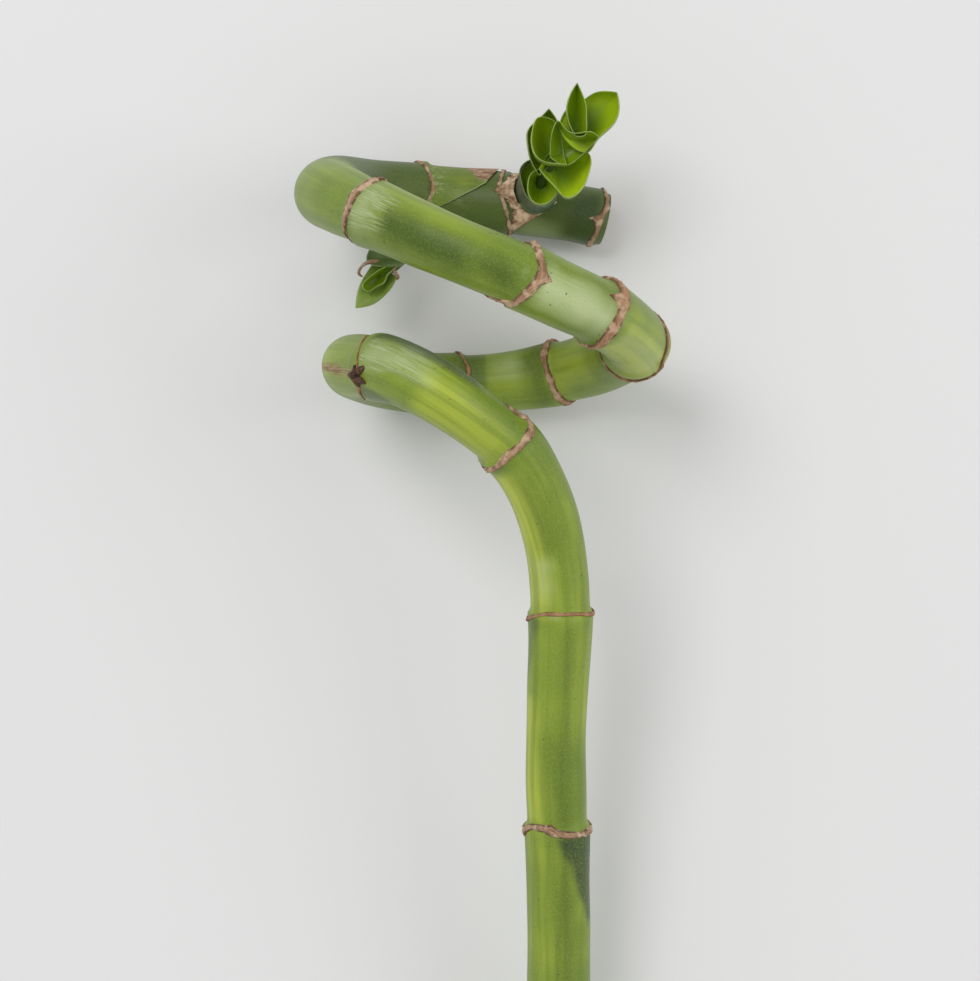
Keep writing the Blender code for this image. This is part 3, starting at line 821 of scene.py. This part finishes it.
LEAVES = [
    Leaf("base_bract", (12.0, 78.3, -31.0),
         [(17.5, 77.0, -21.0), (16.0, 74.3, -19.5), (13.5, 73.2, -18.5), (11.0, 74.0, -18.0),
          (9.0, 76.5, -18.0), (8.0, 80.0, -18.5), (7.8, 83.0, -19.5), (9.5, 85.0, -20.0),
          (13.0, 85.5, -21.0), (17.0, 82.0, -22.0), (17.5, 77.0, -21.0)],
         foot_radius=5.6, cup=0.3, belly=0.2, glow=0.0, dull=0.95),
    Leaf("base_bract", (12.5, 79.0, -26.5),
         [(17.5, 77.5, -23.5), (13.0, 73.6, -22.5), (8.6, 78.0, -22.0), (8.4, 83.0, -22.0),
          (13.0, 84.8, -22.5), (17.0, 81.5, -23.5), (17.5, 77.5, -23.5)],
         cup=1.0, belly=0.0, glow=0.0, dull=0.9, name="base_bract_lining"),
    Leaf("leaf_lower_left", (13.4, 79.2, -22.5),
         [(13.2, 82.5, -15.0), (10.7, 81.2, -14.0), (9.7, 78.0, -13.0), (10.0, 75.4, -13.0),
          (11.6, 73.4, -13.0), (14.2, 73.3, -13.0), (16.2, 74.8, -13.0), (17.2, 77.2, -14.0),
          (15.8, 80.0, -15.0), (13.2, 82.5, -15.0)], belly=0.1, glow=0.65, dull=0.2),
    Leaf("leaf_outer_left", (14.3, 82.5, -20.0),
         [(12.6, 80.8, -15.0), (10.4, 84.5, -12.5), (9.6, 88.5, -11.5), (9.7, 91.5, -11.0),
          (11.2, 93.4, -11.0), (13.0, 95.0, -11.0), (15.0, 97.2, -12.0), (17.0, 94.5, -13.0),
          (18.0, 88.0, -15.0), (12.6, 80.8, -15.0)],
         tip=6, belly=0.1, glow=0.45, dull=0.1),
    Leaf("leaf_lower_right", (16.8, 82.6, -17.5),
         [(12.6, 82.0, -12.0), (14.2, 79.6, -10.0), (16.8, 76.6, -8.5), (19.6, 74.2, -8.0),
          (22.0, 75.2, -8.0), (24.0, 77.8, -8.0), (25.1, 80.8, -8.0), (25.6, 83.6, -9.0),
          (24.6, 86.2, -11.0), (20.0, 88.5, -14.0), (15.0, 86.0, -14.0), (12.6, 82.0, -12.0)],
         foot_radius=0.02, belly=0.08, glow=1.0),
    Leaf("leaf_left_cup", (15.6, 85.6, -15.0),
         [(19.3, 82.2, -6.0), (16.8, 82.3, -4.5), (14.4, 82.4, -3.5), (12.3, 83.3, -3.0),
          (10.9, 85.5, -4.0), (10.4, 88.2, -4.0), (10.8, 91.2, -5.0), (12.0, 94.0, -6.0),
          (14.2, 94.3, -7.0), (17.0, 92.8, -8.5), (18.5, 87.5, -11.5), (19.3, 82.2, -6.0)],
         belly=0.06, glow=0.55),
    Leaf("leaf_middle", (18.8, 86.2, -12.5),
         [(15.2, 84.5, -8.0), (15.3, 88.0, -6.0), (15.9, 91.0, -4.5), (17.0, 93.0, -4.5),
          (19.2, 90.6, -3.0), (22.5, 89.6, -1.5), (25.4, 89.7, -0.5), (27.2, 88.6, -2.0),
          (24.8, 86.2, -6.0), (22.4, 84.2, -8.0), (19.3, 82.4, -8.5), (15.2, 84.5, -8.0)],
         tip=7, belly=0.05, glow=0.12),
    Leaf("leaf_pointed", (21.8, 90.3, -8.3),
         [(21.4, 89.0, -3.0), (19.7, 92.4, -1.0), (19.2, 95.5, 0.5), (19.9, 98.4, 1.0),
          (21.8, 101.8, 0.0), (23.2, 98.6, 0.5), (24.0, 95.8, 0.5), (24.1, 93.0, 0.0),
          (23.6, 89.0, -2.0), (21.4, 89.0, -3.0)], tip=4, belly=0.10, glow=0.45),
    Leaf("leaf_top_cup", (22.8, 90.6, -9.3),
         [(17.5, 91.8, -8.0), (19.5, 96.3, -7.5), (23.3, 98.3, -6.5), (26.3, 99.9, -4.0),
          (29.3, 100.0, -2.0), (31.7, 99.6, -1.0), (32.2, 95.6, 0.0), (31.6, 93.0, 0.0),
          (30.0, 90.9, -1.0), (27.0, 88.3, -3.0), (24.5, 85.6, -7.0), (20.0, 88.0, -9.0),
          (17.5, 91.8, -8.0)],
         tip=5, belly=0.10, glow=0.60),
    Leaf("side_husk", (-22.1, 61.0, -32.5),
         [(-31.0, 64.5, -31.0), (-32.3, 60.2, -29.0), (-30.0, 58.6, -27.0), (-27.5, 58.3, -26.0),
          (-25.4, 58.2, -27.0), (-23.2, 59.0, -30.0)],
         cup=0.0, belly=0.0, glow=0.1, dull=0.45),
    Leaf("side_leaf_main", (-25.9, 57.3, -31.2),
         [(-30.2, 60.5, -31.0), (-32.0, 57.6, -29.5), (-33.6, 54.8, -28.5), (-34.6, 52.2, -28.0),
          (-35.0, 50.2, -28.0), (-35.2, 47.6, -28.0), (-32.6, 48.0, -28.0), (-30.2, 48.8, -28.0),
          (-27.8, 50.6, -28.0), (-26.0, 52.6, -28.5), (-24.4, 55.6, -29.5)],
         tip=5, cup=0.0, belly=0.0, glow=0.5),
    Leaf("side_leaf_small", (-29.0, 56.0, -29.2),
         [(-26.2, 58.8, -27.0), (-28.8, 57.4, -25.0), (-31.2, 55.6, -24.5), (-33.0, 52.8, -24.8),
          (-31.8, 51.9, -25.2), (-29.8, 52.9, -25.0), (-27.6, 54.2, -25.2), (-26.6, 56.4, -26.0),
          (-24.6, 58.6, -27.0), (-26.2, 58.8, -27.0)], belly=0.12, glow=0.15),
]
# The dried tips of the small shoot: points along the middle of each, and its half width at each.
DRY_TIPS = [
    ("side_dry_bract_left", [(-29.0, 59.8, -28.5), (-31.5, 59.7, -27.5), (-33.6, 58.3, -27.0),
                             (-34.2, 56.6, -27.0), (-33.2, 55.8, -27.5)], (0.55, 0.5, 0.25, 0.3, 0.08)),
    ("side_dry_bract_right", [(-25.6, 59.0, -28.0), (-25.1, 57.6, -27.0), (-24.5, 56.4, -26.5),
                              (-24.0, 55.5, -26.5), (-24.4, 54.9, -26.5)], (0.4, 0.45, 0.4, 0.3, 0.08)),
]
LEAF_THICKNESS = 0.35
LEAF_ACROSS = 97
LEAF_ALONG = 25
LEAF_RIM = 0.035             # share of the leaf
PALE_RIM_HIGHLIGHT = 0.40
DRY_THICKNESS = 0.3
DRY_TIP_ACROSS = 9
DRY_TIP_ALONG = 40
DRY_TIP_CURL = 0.7           # how far its edges hang, as a share of its half width


def make_leaf(leaf, material):
    """A leaf whose rim is thin and pale, partly a painted highlight, and whose foot is darkened by painted
    shade.
    """
    grid = leaf.surface(LEAF_ACROSS, LEAF_ALONG)
    t = np.linspace(0, 1, LEAF_ALONG)[:, None] * np.ones(LEAF_ACROSS)
    masks = {
        # Pale rim, partly a painted highlight.
        "rim": np.clip((t - 1 + LEAF_RIM) / LEAF_RIM, 0, 1) * PALE_RIM_HIGHLIGHT,
        # Painted shade, darkest at the foot.
        "painted_shade": np.clip(0.85 - t * 1.7, 0, 1),
        # Painted light, brighter towards the rim.
        "glow": leaf.glow * np.clip(t * 1.8 - 0.1, 0, 1),
        "dull": np.full_like(t, leaf.dull),
    }
    make_sheet(leaf.name, grid, LEAF_THICKNESS, material, leaf.node, masks)


def make_dry_tip(node, middle, half_widths, material):
    """A narrow curled strip of dried leaf."""
    middle = np.array(middle)
    knots = run_length(middle)
    fine = np.linspace(0, knots[-1], DRY_TIP_ALONG)
    line = spline(knots, middle, fine)
    half = np.interp(fine, knots, half_widths)
    ahead = np.gradient(line, axis=0)
    across = np.cross(ahead, (0.0, 0.0, 1.0))
    across /= np.linalg.norm(across, axis=1)[:, None]
    u = np.linspace(-1, 1, DRY_TIP_ACROSS)[None, :]
    grid = line[:, None] + across[:, None] * (u * half[:, None])[..., None]
    grid[..., 2] -= u ** 2 * half[:, None] * DRY_TIP_CURL
    edge = np.abs(u) ** 4 * np.ones((DRY_TIP_ALONG, 1))
    masks = {"edge": edge * 0.3, "warm": np.full_like(edge, 0.15)}
    name = node.replace("side_", "small_") + "_blade"
    make_sheet(name, grid, DRY_THICKNESS, material, node, masks)


STALK_ROWS = 50
STALK_SIDES = 32
STALK_SINK = 1.2             # how deep the stalk starts in the cane
STALK_GIRTH = 0.55           # share of the whole shoot's girth
SWELL_HEIGHT = 5.0
STALK_TIP = 2.0


def make_stalk(name, shoot, shown, base_swell, material, node):
    """The stalk as far as the feet of its leaves hide it, a share of its whole length."""
    reach = shoot.stalk_length * shown
    heights = np.linspace(-STALK_SINK, reach, STALK_ROWS)
    turns = np.linspace(0, 2 * pi, STALK_SIDES, endpoint=False)
    h, turn = (grid.ravel() for grid in np.meshgrid(heights, turns, indexing="ij"))
    girth = shoot.radius(h) * (STALK_GIRTH + base_swell * np.clip(1 - h / SWELL_HEIGHT, 0, 1))
    taper = np.clip((reach - h) / STALK_TIP, 0.02, 1) ** 0.5
    points = shoot.at(h, turn, girth * taper)
    ring = np.arange(STALK_SIDES)
    faces = list(grid_faces(STALK_ROWS, STALK_SIDES, True))
    faces += [ring[::-1], ring + (STALK_ROWS - 1) * STALK_SIDES]
    zero = np.zeros_like(h)
    attributes = {"grain": np.stack([turn * 3, h * 0.1, zero], axis=1), "soft": points, "inner": zero,
                  "rim": zero, "painted_shade": zero, "glow": zero, "dull": zero + 0.8}
    make_piece(name, points, faces, material, attributes, node)


# ---------------------------------------------------------------- husk, torn sheath and bud

# The husk round the foot of the leafy shoot: its inner edge by the shoot and its torn outer edge,
# as x and y on the cane's front.
HUSK_INNER = [(8.2, 83.6), (6.6, 81.5), (6.2, 78.5), (7.2, 75.2), (9.5, 73.6), (12.1, 73.1), (15.6, 74.2),
              (17.2, 75.8)]
HUSK_OUTER = [(5.9, 83.8), (4.3, 81.3), (1.2, 78.6), (4.3, 76.3), (6.0, 73.2), (5.8, 68.3), (12.0, 71.7),
              (17.6, 75.6)]
HUSK_ACROSS = 121
HUSK_ALONG = 13
HUSK_PART = (600.0, 640.0)   # the length of cane that it lies on
HUSK_LIFT = 0.25             # off the skin at its torn edge
HUSK_RISE = 1.3              # and how much more at the shoot


def drape(places, start, end, lift):
    """Points over the cane's front at x and y, a lift off the skin, for one length of the cane."""
    part = (cane.at > start) & (cane.at < end)
    axis, radius = cane.centre[part], cane.radius(cane.at[part])
    gap = np.linalg.norm(places[:, None] - axis[None, :, :2], axis=2)
    nearest = gap.argmin(axis=1)
    reach = radius[nearest] + lift
    height = np.sqrt(np.maximum(reach ** 2 - gap[np.arange(len(places)), nearest] ** 2, 0.0))
    return np.column_stack([places, axis[nearest, 2] + height])


def along_edge(edge, count):
    """Points spread over an edge, the same number between each two of its own."""
    edge = np.array(edge, float)
    knots = np.linspace(0, 1, len(edge))
    return np.stack([np.interp(np.linspace(0, 1, count), knots, edge[:, k]) for k in range(2)], axis=1)


def make_husk(material):
    """The dry sheath that a side shoot has split, torn into points at its left and at its foot."""
    inner, outer = along_edge(HUSK_INNER, HUSK_ACROSS), along_edge(HUSK_OUTER, HUSK_ACROSS)
    ragged = 0.25 * fuzz(np.column_stack([outer, np.zeros(HUSK_ACROSS)]), 0.5)[:, None]
    t = np.linspace(0, 1, HUSK_ALONG)
    rows = []
    for share in t:
        places = outer + (inner - outer) * (share + ragged * (1 - share))
        rows.append(drape(places, *HUSK_PART, HUSK_LIFT + HUSK_RISE * share ** 2))
    grid = np.array(rows)[::-1]
    edge = np.ones(HUSK_ACROSS) * (t[:, None] > 0.93)
    masks = {"edge": edge * 0.8, "warm": np.zeros_like(edge)}
    make_sheet("split_husk", grid, DRY_THICKNESS, material, "sheath_collar_14", masks)


# The torn edge of the green sheath: angle in degrees and length along the cane.
TORN_EDGE = [(-70, 597.0), (-30, 607.0), (0, 611.5), (33, 613.0), (60, 612.0), (87, 610.0),
             (102, 607.0), (126, 601.5), (146, 596.5)]
TORN_RING = 13               # the number of the ring that it starts at
TORN_ACROSS = 121
TORN_ALONG = 31
TORN_LIFT = 0.25             # off the skin at its foot, and as much again at its edge
BROWN_FROM = (603.5, 42, 0.1)  # length along the cane at an angle, and how much later each degree is
FRESH_SPOT = (604, 2.5, 90, 14)  # the brightest place: length and its spread, angle and its spread


def make_sheath_remnant(material):
    """The green foot of a leaf that still wraps the cane beyond a back node, torn on a slant."""
    angles = np.linspace(TORN_EDGE[0][0], TORN_EDGE[-1][0], TORN_ACROSS)
    turns = np.radians(angles)
    start = ring_line(RINGS[TORN_RING - 1], turns)
    ragged = 0.15 * fuzz(np.stack([angles, angles * 0, angles * 0], axis=1), 6.0)
    end = np.interp(angles, *zip(*TORN_EDGE)) + ragged
    t = np.linspace(0, 1, TORN_ALONG)[:, None]
    s = start + np.maximum(end - start, 0.05) * t
    angle = np.broadcast_to(angles, s.shape)
    grid = cane.surface(s, np.broadcast_to(turns, s.shape), TORN_LIFT * (1 + t ** 4))
    brown_start, brown_angle, later = BROWN_FROM
    brown = np.clip(s - brown_start - (angle - brown_angle) * later, 0, 1) * np.clip((84 - angle) / 6, 0, 1)
    edge = np.clip((t - 0.96) / 0.04, 0, 1) * np.ones_like(s)
    spot, spot_length, spot_angle, spot_width = FRESH_SPOT
    fresh = np.exp(-((s - spot) / spot_length) ** 2 - ((angle - spot_angle) / spot_width) ** 2)
    plain = np.zeros_like(s)
    # Painted shade darkens the whole torn sheath evenly.
    masks = {"tan": np.maximum(brown, np.clip((12 - angle) / 20, 0, 1)), "pale": edge * 0.8,
             "bruise": plain, "wrinkle_highlight": np.clip(1.2 - t * 2.5, 0, 1) * 0.5 + plain, "painted_shade": plain + 0.35,
             "shade": plain + 0.30, "lit_and_brighter_green": fresh}
    piece = make_sheet("torn_sheath", grid[:, ::-1], DRY_THICKNESS, material, "sheath_remnant",
                       {label: values[:, ::-1] for label, values in masks.items()})
    grain = piece.data.attributes["grain"].data
    twice = np.concatenate([grid[:, ::-1].reshape(-1, 3)] * 2) * (0.2, 1.0, 1.0)
    grain.foreach_set("vector", twice.astype(np.float32).ravel())


BUD_PLACE = 277.5            # along the cane
BUD_ANGLE = radians(-12)
BUD_REACH = 2.3
BUD_SIDES = 60
BUD_ON_RADIUS = 8.0          # of the cane under the bud
# The bud's rings from its foot to its top: share of its reach, lift off the skin, and if it is starred.
BUD_RINGS = [(1.0, -0.2, True), (0.9, 0.5, True), (0.6, 1.0, True), (0.35, 1.5, False), (0.02, 1.3, False)]


def make_dried_bud(material):
    """A small star of shrivelled scales on the front of a node."""
    turns = np.linspace(0, 2 * pi, BUD_SIDES, endpoint=False)
    star = 1 + 0.45 * np.cos(turns * 5 + 0.6) + 0.25 * np.cos(turns * 3)
    rows = []
    for share, lift, starred in BUD_RINGS:
        reach = BUD_REACH * share * (star if starred else 1)
        rows.append(cane.surface(BUD_PLACE + reach * np.cos(turns),
                                 BUD_ANGLE + reach * np.sin(turns) / BUD_ON_RADIUS,
                                 lift + 0.15 * np.cos(turns * 9)))
    points = np.concatenate(rows)
    ring = np.arange(BUD_SIDES)
    faces = list(grid_faces(len(BUD_RINGS), BUD_SIDES, True)[:, ::-1])
    faces += [ring, (ring + (len(BUD_RINGS) - 1) * BUD_SIDES)[::-1]]
    make_piece("dried_bud_star", points, faces, material, {"soft": points}, "dried_bud")


# ---------------------------------------------------------------- studio

CAMERA_DISTANCE = 600.0      # over the plant frame's origin, in mm
SENSOR = 36.0                # wide, in mm
LENS = 88.16
FLOOR_REACH = 12.0           # from here on in metres, as the studio stands in the world
WHITE = (1.0, 1.0, 1.0, 1.0)
WORLD_LEVEL = 0.62
# Each lamp's place, size and power.
LAMPS = {"key": ((-0.55, 0.6, 1.5), 0.8, 9.0), "fill": ((1.2, 0.1, 0.9), 1.0, 4.0)}


def make_camera():
    """Looks straight down the plant's own Z axis."""
    camera = bpy.data.objects.new("camera", bpy.data.cameras.new("camera"))
    camera.data.lens = LENS
    camera.data.sensor_width = SENSOR
    camera.data.clip_start = 0.01
    camera.matrix_world = LIE @ Matrix.Translation((0, 0, CAMERA_DISTANCE * MM))
    bpy.context.scene.collection.objects.link(camera)
    bpy.context.scene.camera = camera


def make_lamp(name, place, size, power):
    """A round soft lamp that points at the middle of the floor."""
    lamp = bpy.data.objects.new(name, bpy.data.lights.new(name, "AREA"))
    lamp.data.shape = "DISK"
    lamp.data.size = size
    lamp.data.energy = power
    lamp.location = place
    lamp.rotation_euler = (-Vector(place)).to_track_quat("-Z", "Y").to_euler()
    bpy.context.scene.collection.objects.link(lamp)


def make_studio():
    """A wide floor, two lamps and an even white world."""
    floor_mesh = bpy.data.meshes.new("floor")
    corners = [(x * FLOOR_REACH, y * FLOOR_REACH, 0) for x, y in ((-1, -1), (1, -1), (1, 1), (-1, 1))]
    floor_mesh.from_pydata(corners, [], [(0, 1, 2, 3)])
    floor_mesh.materials.append(floor_finish())
    floor = bpy.data.objects.new("floor", floor_mesh)
    bpy.context.scene.collection.objects.link(floor)
    for name, (place, size, power) in LAMPS.items():
        make_lamp(name, place, size, power)
    world = bpy.data.worlds.new("studio")
    world.use_nodes = True
    background = world.node_tree.nodes["Background"]
    background.inputs["Color"].default_value = WHITE
    background.inputs["Strength"].default_value = WORLD_LEVEL
    bpy.context.scene.world = world
    bpy.context.scene.view_settings.view_transform = "Standard"


def main():
    make_camera()
    make_studio()
    skin, sheath, bud, leaf = cane_finish(), sheath_finish(), bud_finish(), leaf_finish()
    make_cane(skin)
    for number, (ring, size) in enumerate(zip(RINGS, COLLAR_SIZES), start=1):
        make_collar(number, ring, size, sheath)
    make_husk(sheath)
    make_sheath_remnant(skin)
    make_dried_bud(bud)
    make_stalk("top_stalk_stem", TOP_SHOOT, 0.8, 0.8, leaf, "top_stalk")
    make_stalk("small_stalk_stem", SIDE_SHOOT, 1.0, 0.4, leaf, "side_stalk")
    for shape in LEAVES:
        make_leaf(shape, leaf)
    for node, middle, half_widths in DRY_TIPS:
        make_dry_tip(node, middle, half_widths, sheath)


main()
